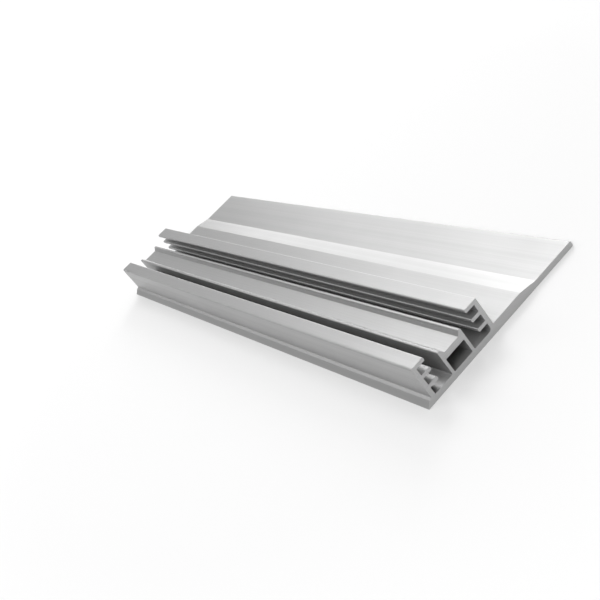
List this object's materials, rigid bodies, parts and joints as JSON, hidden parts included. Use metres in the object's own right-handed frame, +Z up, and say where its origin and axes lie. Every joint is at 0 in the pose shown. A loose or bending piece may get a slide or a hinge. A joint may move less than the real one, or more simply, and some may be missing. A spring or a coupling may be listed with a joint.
{
  "type": "solar mounting base plate",
  "caption": "Extruded aluminium base plate for a solar roof hook: lipped channels with locking ribs beside a hollow box, and a wide flat flange for screwing down.",
  "frame": {"origin": "middle of the flat underside: half way along the plate and half way across its full width", "axes": "+X along the extrusion, +Y across the plate from the toe towards the flange, +Z up out of the channels"},
  "size_m": [0.35, 0.1, 0.02],
  "materials": {
    "mill_aluminium": "plain extruded aluminium, satin, with fine die lines along its length and sawn ends"
  },
  "bodies": {
    "root": {"base_plate": "mill_aluminium"}
  },
  "joints": []
}
